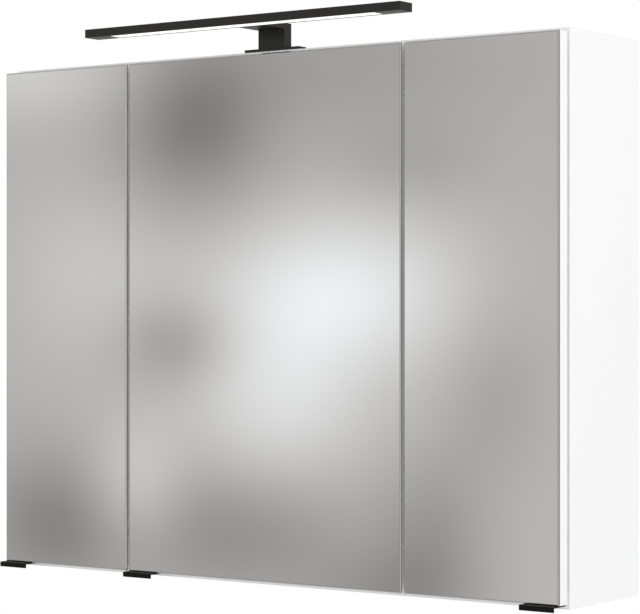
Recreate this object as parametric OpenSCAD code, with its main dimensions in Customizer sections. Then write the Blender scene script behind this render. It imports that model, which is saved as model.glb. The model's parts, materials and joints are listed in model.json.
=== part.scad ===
// Three-door mirrored medicine cabinet with a lamp on top.
// The case hangs on a wall by two keyhole plates. X runs across the front,
// the doors face -Y, +Z is up, and the origin lies between the two keyholes
// on the wall plane.

/* [Case] */
// Width over both sides
case_w = 800; // [700:10:1000]
// Height over top and bottom panels
case_h = 630; // [540:10:800]
// Depth over everything, from the wall to the mirrors
total_depth = 185; // [160:5:240]
// Thickness of every case board
board_t = 16; // [15:1:19]
// Thickness of the back panel
back_t = 3; // [3:0.5:5]
// Space behind the back panel for the wall hooks
back_inset = 12; // [10:1:20]
// Depth of the groove that holds the back panel
groove_d = 5; // [4:1:7]

/* [Doors] */
// Share of the case width that each side door takes
side_door_share = 0.25; // [0.22:0.01:0.3]
// Thickness of a door board
door_t = 16; // [15:1:19]
// Thickness of the mirror glass
mirror_t = 3; // [3:0.5:5]
// Bevel along the front edges of each mirror
mirror_bevel = 1; // [0.5:0.1:1.2]
// Gap between two doors
door_gap = 4; // [4:0.5:6]
// Gap between the doors and the case
case_gap = 5; // [5:0.5:6]
// How far the doors stop short of the case top
door_top_inset = 5; // [2:1:10]
// How far the doors stop short of the case bottom
door_bottom_inset = 6; // [2:1:10]

/* [Handles] */
// Length of each handle along the door edge
handle_l = 43; // [30:1:60]
// Reach of the handle in front of the mirror
handle_reach = 11; // [8:1:20]
// Depth of the handle plate under the door
handle_under = 16; // [14:1:18]
// Thickness of the handle sheet
handle_t = 1.5; // [1:0.5:3]
// Height of the handle's down-turned lip
handle_lip = 6; // [5:0.5:15]

/* [Hinges] */
// Distance from a door's end to the middle of its hinge
hinge_inset = 80; // [65:1:100]
// Height step between hinges on opposite faces of a partition
hinge_step = 64; // [56:1:80]
// Diameter of the hinge cup
cup_d = 35; // [35:1:40]
// Depth of the cup hole in the door board
cup_depth = 13.5; // [12.5:0.1:13.5]
// Door edge to the rim of the cup hole
cup_edge = 4.5; // [4:0.5:6]
// Door edge to the hinge pin, across the door
pin_u = 11; // [11:0.1:12]
// Mirror face to the hinge pin
pin_v = 7.8; // [7.8:0.1:8.2]
// Radius of the hinge pin
pin_r = 0.9; // [0.8:0.05:1]

/* [Shelves] */
// Thickness of a glass shelf
shelf_t = 5; // [4:1:8]
// Depth of a glass shelf
shelf_d = 130; // [100:5:140]
// Space at each end of a shelf
shelf_gap = 1.5; // [1:0.5:3]

/* [Lamp] */
// Length of the lamp bar
lamp_l = 455; // [300:5:600]
// Depth of the lamp bar
lamp_d = 25; // [22:1:40]
// Height of the lamp bar
lamp_h = 10; // [10:0.5:16]
// Underside of the lamp bar above the case
lamp_rise = 24; // [22:1:60]
// How far the lamp bar reaches in front of the mirrors
lamp_reach = 47; // [35:1:100]
// Length of the closed ends of the bar beside the diffuser
lamp_end = 36; // [20:1:60]
// Width of the arm and the post
arm_w = 38; // [30:1:60]
// Thickness of the arm
arm_t = 7; // [6.5:0.5:8]
// Depth of the post
post_d = 14; // [12:1:20]
// Width of the foot plate
foot_w = 79; // [70:1:120]
// Thickness of the foot plate
foot_t = 3.5; // [3:0.5:6]
// Diameter of the lamp lead
lead_d = 3.5; // [3:0.5:4]

/* [Power] */
// Width of the power box
box_w = 60; // [56:1:80]
// Height of the power box
box_h = 104; // [96:1:140]
// Depth of the power box, without its cover
box_d = 50; // [40:1:60]
// Case front to the face of the power box
box_setback = 52; // [45:1:60]
// Diameter of the socket recess
socket_d = 39; // [39:0.5:40]
// Depth of the socket recess
socket_depth = 17.5; // [17:0.5:18]
// Diameter of the bore for a mains lead
gland_bore = 7; // [6:0.5:9]

/* [Hanging] */
// Keyhole centre to the outer faces of the case
hook_inset = 34; // [32:1:50]
// Diameter of the keyhole
hook_d = 11; // [9:0.5:12]

/* [Hidden] */
$fn = 48;

// Clearances between a piece and the hole or slot that takes it
slip = 0.2;
run = 0.05;
eps = 0.01;

// Screws, by the radius of the shank: wood screws, machine screws, system screws for
// 5 mm holes, and nails
wood_r = 1.75;
machine_r = 1.5;
system_r = 2.5;
nail_r = 0.8;
screw_l = 14;
nail_l = 16;
peg_r = 2.5;

// Case planes
z_top = hook_inset;
z_bot = z_top - case_h;
inner_top = z_top - board_t;
inner_bot = z_bot + board_t;
x_out = case_w / 2;
x_in = x_out - board_t;
front_y = -total_depth;
door_back = front_y + mirror_t + door_t;
case_front = door_back + case_gap;
back_front = -back_inset - back_t;
part_x = x_out - case_w * side_door_share;

// Door planes: each door has a hinge edge and a direction in which it runs
door_z0 = z_bot + door_bottom_inset;
door_z1 = z_top - door_top_inset;
door_h = door_z1 - door_z0;
// [low x, high x, hinge edge x, side of the hinge edge on which the door lies]
left_door = [-x_out, -part_x - door_gap / 2, -part_x - door_gap / 2, -1];
middle_door = [-part_x + door_gap / 2, part_x - door_gap / 2, part_x - door_gap / 2, -1];
right_door = [part_x + door_gap / 2, x_out, part_x + door_gap / 2, 1];
plain_hinges = [door_z0 + hinge_inset, door_z1 - hinge_inset];
stepped_hinges = [door_z0 + hinge_inset + hinge_step, door_z1 - hinge_inset - hinge_step];
door_hinges = [[left_door, plain_hinges], [middle_door, plain_hinges], [right_door, stepped_hinges]];

// Hinge, measured from the hinge edge (u) and the mirror face (v)
cup_u = cup_edge + cup_d / 2;
cup_v = mirror_t + door_t - cup_depth;
cup_wall = 1;
cup_floor = 0.5;
flange_t = 1.2;
knuckle_r = pin_r + 0.7;
arm_zw = 16;
strap_t = 2.8;
arm_u = cup_u + 3.2;
door_v = mirror_t + door_t;
case_v = door_v + case_gap;
corner_r = norm([pin_u, door_v - pin_v]);
over_v = pin_v + corner_r + 0.7;
face_u = board_t / 2 - door_gap / 2;
plate_t = 3;
plate_v0 = case_v + 9;
plate_v1 = case_v + 45;
euro_v = case_v + 37;
arm_screw_v = case_v + 22;
cup_screw_z = 26;
cup_screw_u = cup_u + 5.5;

// Shelves: two in each compartment, evenly spaced
level_h = (inner_top - inner_bot - 2 * shelf_t) / 3;
shelf_z = [inner_bot + level_h, inner_bot + 2 * level_h + shelf_t];
shelf_back = back_front - 1.5;
shelf_pin_y = [shelf_back - 20, shelf_back - shelf_d + 20];
pin_hole_d = board_t / 2 - 0.5;
peg_drop = 3;
compartments = [
    [-x_in, -part_x - board_t / 2],
    [-part_x + board_t / 2, part_x - board_t / 2],
    [part_x + board_t / 2, x_in],
];

// Flat-pack joints
dowel_r = 4;
dowel_l = 30;
dowel_in = 10;
dowel_y = [-22, case_front + 20];
cam_y = [-42, case_front + 42];
cam_r = 7.5;
cam_reach = 34;
cam_h = 12.5;
bolt_r = 3;

// Hanger plates
plate_edge = 4;
plate_size = 52;
plate_cut = 20;
hanger_t = 2;
keyhole_w = 5;
keyhole_up = 9;

// Lamp planes
lamp_z0 = z_top + lamp_rise;
lamp_z1 = lamp_z0 + lamp_h;
lamp_front = front_y - lamp_reach;
lamp_back = lamp_front + lamp_d;
lamp_wall = 2.5;
diffuser_t = 1.5;
diffuser_up = 0.3;
recess_h = lamp_h - 3;
foot_front = case_front - 0.5;
foot_d = post_d + 2;
post_y0 = foot_front + 1;
post_y1 = post_y0 + post_d;
arm_z0 = lamp_z0 + 1.2;
post_top = arm_z0;
lead_y = post_y0 + post_d / 2;
lead_z = arm_z0 + arm_t / 2;
lead_bend = 2 * lead_d;
lead_r = lead_d / 2;
foot_screw_x = foot_w / 2 - 9;
arm_screw_x = arm_w / 2 - 6;
arm_screw_l = 20;

// Driver and power box
driver_l = 120;
driver_w = 44;
driver_h = 18;
driver_y = case_front + 62;
driver_ear = 12;
driver_lead_z = inner_top - driver_h / 2;
box_x1 = x_in;
box_x0 = box_x1 - box_w;
box_x = (box_x0 + box_x1) / 2;
box_z1 = inner_top;
box_z0 = box_z1 - box_h;
box_wall = 2.5;
cover_t = 3;
cover_y = case_front + box_setback;
box_y0 = cover_y + cover_t;
box_y1 = box_y0 + box_d;
socket_z = box_z0 + box_w / 2 + 1;
rocker_z = box_z1 - 22;
rocker_w = 14;
rocker_h = 24;
rocker_lift = 6;
rocker_pivot_y = box_y0 + 2.5;
window_w = rocker_w + 1;
window_h = rocker_h + 2.6;
socket_wall = 2.5;
box_lead_d = 5;
gland_z = box_z0 + 20;
gland_r = gland_bore / 2 + 3;

// ---------- small shapes ----------

// Board between two corners
module board(low, high) {
    translate(low)
        cube(high - low);
}

// Straight rod from a point along an axis
module rod_x(p, r, l) {
    translate(p)
        rotate([0, 90, 0])
            cylinder(r = r, h = l);
}

module rod_y(p, r, l) {
    translate(p)
        rotate([-90, 0, 0])
            cylinder(r = r, h = l);
}

// Countersunk screw along +Z, its head flush with z = 0
module csk_screw(r, l, grow = 0) {
    head = 2 * r;
    translate([0, 0, -l])
        cylinder(r = r + grow, h = l);
    translate([0, 0, -r - grow])
        cylinder(r1 = r, r2 = head + grow, h = r + grow);
}

// The hole for a countersunk screw
module csk_hole(r, l) {
    csk_screw(r, l + 1, grow = slip);
}

// Pan head screw along +Z, its head seated on z = 0
module pan_screw(r, l, head_r, head_h) {
    slot_w = 0.8;
    difference() {
        union() {
            translate([0, 0, -l])
                cylinder(r = r, h = l);
            cylinder(r = head_r, h = head_h);
        }
        translate([-head_r * 0.6, -slot_w / 2, head_h / 2])
            cube([head_r * 1.2, slot_w, head_h]);
        translate([-slot_w / 2, -head_r * 0.6, head_h / 2])
            cube([slot_w, head_r * 1.2, head_h]);
    }
}

// ---------- case ----------

// Holes along X for the dowels and cam bolts at both case joints of one end
module side_joint_holes(dir) {
    for (z = [z_top - board_t / 2, z_bot + board_t / 2]) {
        for (y = dowel_y)
            rod_x([dir * x_in - dowel_in - 1, y, z], dowel_r + slip, 2 * dowel_in + 2);
        for (y = cam_y)
            rod_x([dir * x_in - dowel_in - 1, y, z], bolt_r - 0.5 + slip, 2 * dowel_in + 2);
    }
}

// Pin holes in the face at x, drilled in direction dir
module shelf_pin_holes(x, dir) {
    for (z = shelf_z)
        for (y = shelf_pin_y)
            rod_x([dir > 0 ? x - eps : x - pin_hole_d, y, z - peg_drop], peg_r + slip, pin_hole_d + eps);
}

// Groove for the back panel, one long slot through the whole case
module back_groove() {
    translate([-x_in - groove_d, back_front - slip, inner_bot - groove_d])
        cube([2 * (x_in + groove_d), back_t + 2 * slip, inner_top - inner_bot + 2 * groove_d]);
}

// Pocket outline of one hanger plate, in the XZ plane, right-hand corner
module hanger_outline(grow = 0) {
    a = x_out - plate_edge + grow;
    b = x_out - plate_edge - plate_size - grow;
    c = z_top - plate_edge + grow;
    d = z_top - plate_edge - plate_size - grow;
    polygon([[a, c], [b, c], [b, d + plate_cut], [b + plate_cut, d], [a, d]]);
}

// Place a shape drawn in XZ between two Y planes
module upright(y0, y1) {
    translate([0, y1, 0])
        rotate([90, 0, 0])
            linear_extrude(y1 - y0)
                children();
}

module both_sides() {
    children();
    mirror([1, 0, 0])
        children();
}

// Screw places of the right-hand hanger plate
hanger_screw_places = [
    [x_out - board_t / 2, z_top - board_t - 10],
    [x_out - board_t / 2, z_top - board_t - 32],
    [x_in - 10, z_top - board_t / 2],
    [x_in - 30, z_top - board_t / 2],
];

module hanger_pockets() {
    both_sides() {
        upright(-hanger_t, 1)
            hanger_outline(slip);
        for (p = hanger_screw_places)
            rod_y([p[0], -16, p[1]], wood_r + slip, 17);
    }
}

module side_blank(dir) {
    x0 = dir > 0 ? x_in : -x_out;
    difference() {
        board([x0, case_front, z_bot], [x0 + board_t, 0, z_top]);
        back_groove();
        hanger_pockets();
        side_joint_holes(dir);
        shelf_pin_holes(dir > 0 ? x_in : -x_in, dir);
    }
}

module side_left() {
    color("white")
        side_blank(-1);
}

module side_right() {
    color("white")
        difference() {
            side_blank(1);
            box_screw_places()
                rod_x([x_in - 1, 0, 0], wood_r + slip, 13);
        }
}

// The top or the bottom panel, without its own fittings; up is 1 for the top
module deck_blank(up) {
    z0 = up > 0 ? inner_top : z_bot;
    difference() {
        board([-x_in, case_front, z0], [x_in, 0, z0 + board_t]);
        back_groove();
        for (dir = [-1, 1]) {
            for (y = dowel_y)
                rod_x([dir > 0 ? x_in - dowel_l + dowel_in - 1 : -x_in - 1, y, z0 + board_t / 2],
                      dowel_r + slip, dowel_l - dowel_in + 2);
            for (y = cam_y) {
                rod_x([dir > 0 ? x_in - cam_reach : -x_in - 1, y, z0 + board_t / 2],
                      bolt_r + 0.5 + slip, cam_reach + 1);
                translate([dir * (x_in - cam_reach), y, up > 0 ? z_top - cam_h - slip : z_bot - 1])
                    cylinder(r = cam_r + slip, h = cam_h + slip + 1);
            }
        }
        for (x = [-part_x, part_x])
            for (y = dowel_y)
                translate([x, y, up > 0 ? inner_top - 1 : inner_bot - dowel_in - 0.5])
                    cylinder(r = dowel_r + slip, h = dowel_in + 1.5);
    }
}

module top_panel() {
    color("white")
        difference() {
            deck_blank(1);
            hanger_pockets();
            lamp_lead_route(lead_r + 0.4);
            for (x = [-foot_screw_x, foot_screw_x])
                translate([x, lead_y, z_top - 12])
                    cylinder(r = wood_r + slip, h = 13);
            driver_screw_places()
                translate([0, 0, inner_top - 1])
                    cylinder(r = machine_r + slip, h = 11);
            clip_places()
                translate([0, 0, inner_top - 1])
                    cylinder(r = nail_r + slip, h = 7);
        }
}

module bottom_panel() {
    color("white")
        deck_blank(-1);
}

module partition_blank(x) {
    difference() {
        board([x - board_t / 2, case_front, inner_bot], [x + board_t / 2, back_front, inner_top]);
        for (y = dowel_y)
            for (z = [inner_bot - 1, inner_top - dowel_l + dowel_in])
                translate([x, y, z])
                    cylinder(r = dowel_r + slip, h = dowel_l - dowel_in + 1);
        shelf_pin_holes(x + board_t / 2, -1);
        shelf_pin_holes(x - board_t / 2, 1);
        for (d = door_hinges)
            if (abs(d[0][2] - x) < board_t)
                for (z = d[1])
                    at_hinge(d[0], z)
                        euro_places()
                            rod_x([face_u - 12, 0, 0], system_r + slip, 13);
    }
}

module partition_left() {
    color("white")
        partition_blank(-part_x);
}

module partition_right() {
    color("white")
        difference() {
            partition_blank(part_x);
            rod_x([part_x - board_t, driver_y, driver_lead_z], box_lead_d / 2 + 0.6, 2 * board_t);
        }
}

module back_panel() {
    grip = groove_d - slip;
    color("whitesmoke")
        difference() {
            board([-x_in - grip, back_front, inner_bot - grip], [x_in + grip, -back_inset, inner_top + grip]);
            rod_y([box_x, back_front - 1, gland_z], gland_r + slip, back_t + 2);
        }
}

module case_dowels() {
    color("burlywood") {
        for (dir = [-1, 1])
            for (z = [z_top - board_t / 2, z_bot + board_t / 2])
                for (y = dowel_y)
                    rod_x([dir > 0 ? x_in - dowel_l + dowel_in : -x_in - dowel_in, y, z], dowel_r, dowel_l);
        for (x = [-part_x, part_x])
            for (y = dowel_y)
                for (z = [inner_bot - dowel_in, inner_top - dowel_l + dowel_in])
                    translate([x, y, z])
                        cylinder(r = dowel_r, h = dowel_l);
    }
}

module cam_bolts() {
    shank = cam_reach - 3;
    color("silver")
        for (dir = [-1, 1])
            for (z = [z_top - board_t / 2, z_bot + board_t / 2])
                for (y = cam_y)
                    mirror([dir > 0 ? 0 : 1, 0, 0]) {
                        rod_x([x_in - shank, y, z], bolt_r - 0.5, shank + dowel_in);
                        rod_x([x_in - shank - 2, y, z], bolt_r, 2 + eps);
                    }
}

// Cam discs, each with a cross slot and a channel for the bolt's head
module cam_locks() {
    color("darkgray")
        for (dir = [-1, 1])
            for (up = [-1, 1])
                for (y = cam_y) {
                    face = up > 0 ? z_top : z_bot;
                    difference() {
                        translate([dir * (x_in - cam_reach), y, up > 0 ? z_top - cam_h : z_bot])
                            cylinder(r = cam_r, h = cam_h);
                        rod_x([dir > 0 ? x_in - cam_reach - 1 : -x_in - 1, y,
                               face - up * board_t / 2], bolt_r + 0.4, cam_reach + 2);
                        for (turn = [0, 90])
                            translate([dir * (x_in - cam_reach), y, face])
                                rotate([0, 0, turn])
                                    cube([9, 1.4, 3], center = true);
                    }
                }
}

// ---------- hanging ----------

module hanger_plate() {
    color("lightgray")
        difference() {
            upright(-hanger_t, 0)
                hanger_outline();
            rod_y([x_out - hook_inset, -hanger_t - 1, 0], hook_d / 2, hanger_t + 2);
            translate([x_out - hook_inset - keyhole_w / 2, -hanger_t - 1, 0])
                cube([keyhole_w, hanger_t + 2, keyhole_up]);
            for (p = hanger_screw_places)
                translate([p[0], 0, p[1]])
                    rotate([-90, 0, 0])
                        csk_hole(wood_r, screw_l);
        }
}

module hanger_plate_right() {
    hanger_plate();
}

module hanger_plate_left() {
    mirror([1, 0, 0])
        hanger_plate();
}

module hanger_screws() {
    color("silver")
        both_sides()
            for (p = hanger_screw_places)
                translate([p[0], 0, p[1]])
                    rotate([-90, 0, 0])
                        csk_screw(wood_r, screw_l);
}

// ---------- shelves ----------

module shelf(bay, level) {
    c = compartments[bay];
    color("lightcyan", 0.5)
        board([c[0] + shelf_gap, shelf_back - shelf_d, shelf_z[level]],
              [c[1] - shelf_gap, shelf_back, shelf_z[level] + shelf_t]);
}

// Each pin is a peg in the board with a flat rest under the glass
module shelf_pins() {
    rest_l = 7;
    rest_w = 7;
    color("silver")
        for (c = compartments)
            for (z = shelf_z)
                for (y = shelf_pin_y)
                    for (dir = [-1, 1]) {
                        x = dir > 0 ? c[0] : c[1];
                        rod_x([dir > 0 ? x - pin_hole_d + 0.5 : x - rest_l, y, z - peg_drop],
                              peg_r, pin_hole_d - 0.5 + rest_l);
                        translate([dir > 0 ? x : x - rest_l, y - rest_w / 2, z - peg_drop])
                            cube([rest_l, rest_w, peg_drop]);
                    }
}

// ---------- lamp ----------

// The lead's route: out of the bar, down the post and back to the driver
module lamp_lead_route(r) {
    bend_y = lead_y - lead_bend;
    start_y = lamp_back - lamp_wall - 2;
    rod_y([0, start_y, lead_z], r, bend_y - start_y);
    translate([0, bend_y, lead_z - lead_bend])
        rotate([90, 0, 90])
            rotate_extrude(angle = 90)
                translate([lead_bend, 0])
                    circle(r = r);
    foot_z = driver_lead_z + lead_bend;
    translate([0, lead_y, foot_z])
        cylinder(r = r, h = lead_z - lead_bend - foot_z);
    translate([0, lead_y + lead_bend, foot_z])
        rotate([90, 0, 90])
            rotate([0, 0, 180])
                rotate_extrude(angle = 90)
                    translate([lead_bend, 0])
                        circle(r = r);
    end_y = driver_y - driver_w / 2;
    rod_y([0, lead_y + lead_bend, driver_lead_z], r, end_y - lead_y - lead_bend);
}

module lamp_lead() {
    color("dimgray")
        lamp_lead_route(lead_r);
}

module lamp_housing() {
    color("#2b2a28")
        difference() {
            board([-lamp_l / 2, lamp_front, lamp_z0], [lamp_l / 2, lamp_back, lamp_z1]);
            board([-lamp_l / 2 + lamp_end, lamp_front + lamp_wall, lamp_z0 - 1],
                  [lamp_l / 2 - lamp_end, lamp_back - lamp_wall, lamp_z0 + recess_h]);
            lamp_lead_route(lead_r + 0.4);
            for (x = [-arm_screw_x, arm_screw_x])
                rod_y([x, lamp_back - lamp_wall - 1, lead_z], machine_r + slip, lamp_wall + 2);
        }
}

module lamp_diffuser() {
    gap = 0.1;
    color("white")
        board([-lamp_l / 2 + lamp_end + gap, lamp_front + lamp_wall + gap, lamp_z0 + diffuser_up],
              [lamp_l / 2 - lamp_end - gap, lamp_back - lamp_wall - gap, lamp_z0 + diffuser_up + diffuser_t]);
}

module led_strip() {
    strip_w = 8;
    strip_t = 0.8;
    led_pitch = 16;
    led_count = floor((lamp_l - 2 * lamp_end - 12) / led_pitch);
    mid_y = (lamp_front + lamp_back) / 2;
    ceiling = lamp_z0 + recess_h;
    color("khaki") {
        board([-lamp_l / 2 + lamp_end + 2, mid_y - strip_w / 2, ceiling - strip_t],
              [lamp_l / 2 - lamp_end - 2, mid_y + strip_w / 2, ceiling]);
        for (i = [0 : led_count - 1])
            translate([(i - (led_count - 1) / 2) * led_pitch - 1.75, mid_y - 1.4, ceiling - strip_t - 0.7])
                cube([3.5, 2.8, 0.7 + eps]);
    }
}

module lamp_arm() {
    color("#2b2a28")
        difference() {
            board([-arm_w / 2, lamp_back, arm_z0], [arm_w / 2, post_y1, arm_z0 + arm_t]);
            lamp_lead_route(lead_r + 0.4);
            for (x = [-arm_screw_x, arm_screw_x]) {
                rod_y([x, lamp_back - 1, lead_z], machine_r + slip, 9);
                translate([x, lead_y, arm_z0 + arm_t])
                    csk_hole(wood_r, arm_screw_l);
            }
        }
}

module lamp_post() {
    color("#2b2a28")
        difference() {
            board([-arm_w / 2, post_y0, z_top + foot_t], [arm_w / 2, post_y1, post_top]);
            lamp_lead_route(lead_r + 0.4);
            for (x = [-arm_screw_x, arm_screw_x])
                translate([x, lead_y, arm_z0 + arm_t])
                    csk_hole(wood_r, arm_screw_l);
        }
}

module lamp_base() {
    color("#1d1c1b")
        difference() {
            board([-foot_w / 2, foot_front + 1, z_top], [foot_w / 2, foot_front + 1 + foot_d, z_top + foot_t]);
            lamp_lead_route(lead_r + 0.4);
            for (x = [-foot_screw_x, foot_screw_x])
                translate([x, lead_y, z_top + foot_t])
                    csk_hole(wood_r, screw_l);
        }
}

module lamp_screws() {
    color("dimgray")
        for (dir = [-1, 1]) {
            translate([dir * foot_screw_x, lead_y, z_top + foot_t])
                csk_screw(wood_r, screw_l);
            translate([dir * arm_screw_x, lead_y, arm_z0 + arm_t])
                csk_screw(wood_r, arm_screw_l);
            translate([dir * arm_screw_x, lamp_back - lamp_wall, lead_z])
                rotate([90, 0, 0])
                    pan_screw(machine_r, 9, 2, 1.2);
        }
}

// ---------- driver and leads ----------

module driver_screw_places() {
    for (dir = [-1, 1])
        translate([dir * (driver_l / 2 + driver_ear / 2), driver_y, 0])
            children();
}

module lamp_driver() {
    ear_t = 2;
    color("gainsboro")
        difference() {
            union() {
                board([-driver_l / 2, driver_y - driver_w / 2, inner_top - driver_h],
                      [driver_l / 2, driver_y + driver_w / 2, inner_top]);
                board([-driver_l / 2 - driver_ear, driver_y - 8, inner_top - ear_t],
                      [driver_l / 2 + driver_ear, driver_y + 8, inner_top]);
            }
            driver_screw_places()
                translate([0, 0, inner_top - ear_t - 1])
                    cylinder(r = machine_r + slip, h = ear_t + 2);
        }
}

module box_lead() {
    color("whitesmoke")
        rod_x([driver_l / 2, driver_y, driver_lead_z], box_lead_d / 2, box_x0 - driver_l / 2);
}

module clip_places() {
    for (x = [driver_l / 2 + 50, (part_x + board_t / 2 + box_x0) / 2])
        translate([x, driver_y + box_lead_d / 2 + 4, 0])
            children();
}

// Saddle clips: a block with a round seat for the lead and a nail beside it
module lead_clips() {
    drop = inner_top - driver_lead_z;
    color("white")
        clip_places()
            difference() {
                translate([-3, -box_lead_d - 6.5, inner_top - drop - box_lead_d / 2 - 1.5])
                    cube([6, box_lead_d + 10, drop + box_lead_d / 2 + 1.5]);
                rod_x([-4, -box_lead_d / 2 - 4, driver_lead_z], box_lead_d / 2 + 0.15, 8);
                translate([0, 0, inner_top - drop - box_lead_d])
                    cylinder(r = nail_r + slip, h = drop + box_lead_d + 1);
            }
}

// ---------- power box ----------

module box_screw_places() {
    for (z = [box_z0 + 14, box_z1 - 14])
        translate([0, box_y1 - 12, z])
            children();
}

module power_box() {
    color("white")
        difference() {
            board([box_x0, box_y0, box_z0], [box_x1, box_y1, box_z1]);
            board([box_x0 + box_wall, box_y0 - 1, box_z0 + box_wall],
                  [box_x1 - box_wall, box_y1 - box_wall, box_z1 - box_wall]);
            box_screw_places()
                rod_x([x_in - box_wall - 1, 0, 0], wood_r + slip, box_wall + 2);
            rod_x([box_x0 - 1, driver_y, driver_lead_z], box_lead_d / 2 - 0.5, box_wall + 2);
            rod_y([box_x, box_y1 - box_wall - 1, gland_z], gland_bore / 2, box_wall + 2);
        }
}

// Cover with the socket's hole, the rocker's window and two bearing ears
module box_cover() {
    ear_t = 2;
    ear_x = window_w / 2 + 0.2;
    color("white")
        difference() {
            union() {
                board([box_x0, cover_y, box_z0], [box_x1, box_y0, box_z1]);
                for (dir = [-1, 1])
                    translate([box_x + (dir > 0 ? ear_x : -ear_x - ear_t), box_y0 - eps, rocker_z - 4])
                        cube([ear_t, 6, 8]);
            }
            rod_y([box_x, cover_y - 1, socket_z], socket_d / 2, cover_t + 2);
            translate([box_x - window_w / 2, cover_y - 1, rocker_z - window_h / 2])
                cube([window_w, cover_t + 2, window_h]);
            rod_x([box_x - ear_x - ear_t - 1, rocker_pivot_y, rocker_z], 1.5 + run, 2 * (ear_x + ear_t + 1));
        }
}

// Round socket cup with two pin holes in its floor
module socket_insert() {
    back = cover_y + socket_depth;
    color("white")
        difference() {
            rod_y([box_x, box_y0, socket_z], socket_d / 2 + socket_wall, back + 5 - box_y0);
            rod_y([box_x, box_y0 - 1, socket_z], socket_d / 2, back - box_y0 + 1);
            for (dir = [-1, 1])
                rod_y([box_x + dir * 9.5, back - 1, socket_z], 2.5, 7);
        }
}

// Earth springs at the top and bottom of the recess
module socket_contacts() {
    clip_l = 10;
    color("gold")
        for (dir = [-1, 1])
            translate([box_x - 3, cover_y + socket_depth - clip_l, socket_z + dir * (socket_d / 2 - 2) - 0.75])
                cube([6, clip_l, 1.5]);
}

// Rocker: two flat faces that meet at a shallow angle, on its own trunnions.
// At rest the upper half is pressed in.
module rocker_switch() {
    nose = rocker_pivot_y - cover_y + 1.5;
    tip = nose + rocker_h / 2 * tan(rocker_lift);
    trunnion_l = window_w / 2 + 1.9;
    color("white")
        translate([box_x, rocker_pivot_y, rocker_z])
            rotate([-rocker_lift, 0, 0]) {
                translate([-rocker_w / 2, 0, 0])
                    rotate([90, 0, 90])
                        linear_extrude(rocker_w)
                            polygon([[-nose, 0], [-tip, rocker_h / 2], [-1, rocker_h / 2], [2.5, 3],
                                     [2.5, -3], [-1, -rocker_h / 2], [-tip, -rocker_h / 2]]);
                rod_x([-trunnion_l, 0, 0], 1.5, 2 * trunnion_l);
            }
}

// Flanged gland for the mains lead, in the back panel behind the box
module mains_gland() {
    color("dimgray")
        difference() {
            union() {
                rod_y([box_x, back_front - 2, gland_z], gland_r + 2.5, 2);
                rod_y([box_x, back_front - eps, gland_z], gland_r, back_t + 2);
            }
            rod_y([box_x, back_front - 3, gland_z], gland_bore / 2, back_t + 6);
        }
}

module fitting_screws() {
    color("silver") {
        driver_screw_places()
            translate([0, 0, inner_top - 2])
                rotate([180, 0, 0])
                    pan_screw(machine_r, 10, 3, 1.6);
        box_screw_places()
            translate([x_in - box_wall, 0, 0])
                rotate([0, -90, 0])
                    pan_screw(wood_r, 13, 3.2, 1.8);
        clip_places()
            translate([0, 0, driver_lead_z - box_lead_d / 2 - 1.5])
                rotate([180, 0, 0])
                    pan_screw(nail_r, nail_l, 1.5, 0.6);
    }
}

// ---------- hinges ----------

// Place children, drawn in u, v and z, at one hinge of a door
module at_hinge(door, z) {
    translate([door[2], front_y, z])
        mirror([door[3] < 0 ? 1 : 0, 0, 0])
            children();
}

module each_hinge() {
    for (d = door_hinges)
        for (z = d[1])
            at_hinge(d[0], z)
                children();
}

// The two screw places of a mounting plate, on the partition
module euro_places() {
    for (dir = [-1, 1])
        translate([0, euro_v, dir * 16])
            children();
}

// Fixed arm: a strap that reaches over the door's edge, down into the cup
// and back to the pin
module hinge_arm() {
    u0 = face_u + plate_t;
    difference() {
        translate([0, 0, -arm_zw / 2])
            linear_extrude(arm_zw)
                difference() {
                    union() {
                        translate([u0, over_v])
                            square([strap_t, plate_v1 - 4 - over_v]);
                        translate([u0, over_v])
                            square([arm_u + strap_t - u0, strap_t]);
                        translate([arm_u, pin_v - knuckle_r])
                            square([strap_t, over_v + strap_t - pin_v + knuckle_r]);
                        translate([pin_u, pin_v - knuckle_r])
                            square([arm_u + strap_t - pin_u, 2 * knuckle_r]);
                        translate([pin_u, pin_v])
                            circle(r = knuckle_r);
                    }
                    translate([pin_u, pin_v])
                        circle(r = pin_r + run);
                }
        rod_x([u0 - 1, arm_screw_v, 0], system_r + slip, strap_t + 2);
    }
}

module hinge_arms() {
    color("silver")
        each_hinge()
            hinge_arm();
}

module hinge_plates() {
    color("silver")
        each_hinge()
            difference() {
                union() {
                    board([face_u, plate_v0, -arm_zw / 2], [face_u + plate_t, plate_v1, arm_zw / 2]);
                    board([face_u, euro_v - 7, -22], [face_u + plate_t, plate_v1, 22]);
                }
                rod_x([face_u - 1, arm_screw_v, 0], system_r + slip, plate_t + 2);
                euro_places()
                    rod_x([face_u - 1, 0, 0], system_r + slip, plate_t + 2);
            }
}

module hinge_screws() {
    color("gray")
        each_hinge() {
            euro_places()
                translate([face_u + plate_t, 0, 0])
                    rotate([0, 90, 0])
                        pan_screw(system_r, 14, 4, 1.8);
            translate([face_u + plate_t + strap_t, arm_screw_v, 0])
                rotate([0, 90, 0])
                    pan_screw(system_r, plate_t + strap_t - 0.4, 4, 1.8);
        }
}

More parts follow.
